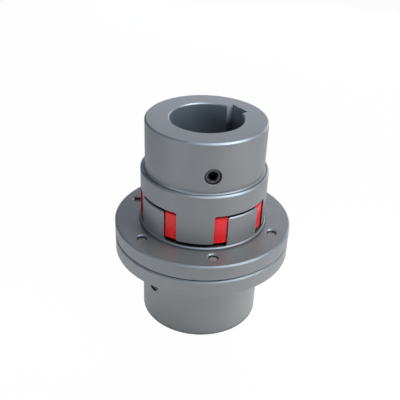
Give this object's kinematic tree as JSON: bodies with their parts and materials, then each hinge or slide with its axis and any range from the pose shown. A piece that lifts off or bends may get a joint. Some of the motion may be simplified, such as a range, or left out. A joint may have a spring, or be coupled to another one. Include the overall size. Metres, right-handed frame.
{
  "type": "jaw coupling",
  "caption": "Jaw coupling: a keyed plug-in hub and a keyed flanged hub turn each other through a red elastomer star between their jaws.",
  "frame": {"origin": "centre of the lower hub's end face, on the coupling's axis", "axes": "+Z along the shaft axis towards the plug-in hub; +X through both keyways"},
  "size_m": [0.1134, 0.1134, 0.1376],
  "materials": {
    "machined_steel": "satin turned steel, mid grey",
    "spider_polyurethane": "satin moulded polyurethane, red",
    "set_screw_steel": "black oxide",
    "screw_steel": "zinc plated"
  },
  "bodies": {
    "flange_hub": {"flange_hub": "machined_steel", "jaw_flange": "machined_steel"},
    "spider": {"spider": "spider_polyurethane"},
    "hub": {"hub": "machined_steel"},
    "hub_set_screw": {"hub_set_screw": "set_screw_steel"},
    "flange_hub_set_screw": {"flange_hub_set_screw": "set_screw_steel"},
    "flange_screw_1": {"flange_screw_1": "screw_steel"},
    "flange_screw_2": {"flange_screw_2": "screw_steel"},
    "flange_screw_3": {"flange_screw_3": "screw_steel"},
    "flange_screw_4": {"flange_screw_4": "screw_steel"},
    "flange_screw_5": {"flange_screw_5": "screw_steel"},
    "flange_screw_6": {"flange_screw_6": "screw_steel"}
  },
  "joints": [
    {"name": "spider_twist", "type": "hinge", "parent": "flange_hub", "child": "spider", "pos_m": [0, 0, 0.08135], "axis": [0, 0, 1], "range_deg": [-0.5, 0.5]},
    {"name": "hub_plug", "type": "slide", "parent": "spider", "child": "hub", "axis": [0, 0, 1], "range_m": [-0.0007, 0.025]},
    {"name": "hub_set_screw_travel", "type": "slide", "parent": "hub", "child": "hub_set_screw", "axis": [-0.515, -0.8572, 0], "range_m": [-0.0017, 0.014]},
    {"name": "flange_hub_set_screw_travel", "type": "slide", "parent": "flange_hub", "child": "flange_hub_set_screw", "axis": [-1, 0, 0], "range_m": [-0.0031, 0.014]},
    {"name": "flange_screw_1_travel", "type": "slide", "parent": "flange_hub", "child": "flange_screw_1", "axis": [0, 0, -1], "range_m": [0, 0.02]},
    {"name": "flange_screw_2_travel", "type": "slide", "parent": "flange_hub", "child": "flange_screw_2", "axis": [0, 0, -1], "range_m": [0, 0.02]},
    {"name": "flange_screw_3_travel", "type": "slide", "parent": "flange_hub", "child": "flange_screw_3", "axis": [0, 0, -1], "range_m": [0, 0.02]},
    {"name": "flange_screw_4_travel", "type": "slide", "parent": "flange_hub", "child": "flange_screw_4", "axis": [0, 0, -1], "range_m": [0, 0.012]},
    {"name": "flange_screw_5_travel", "type": "slide", "parent": "flange_hub", "child": "flange_screw_5", "axis": [0, 0, -1], "range_m": [0, 0.02]},
    {"name": "flange_screw_6_travel", "type": "slide", "parent": "flange_hub", "child": "flange_screw_6", "axis": [0, 0, -1], "range_m": [0, 0.02]}
  ]
}
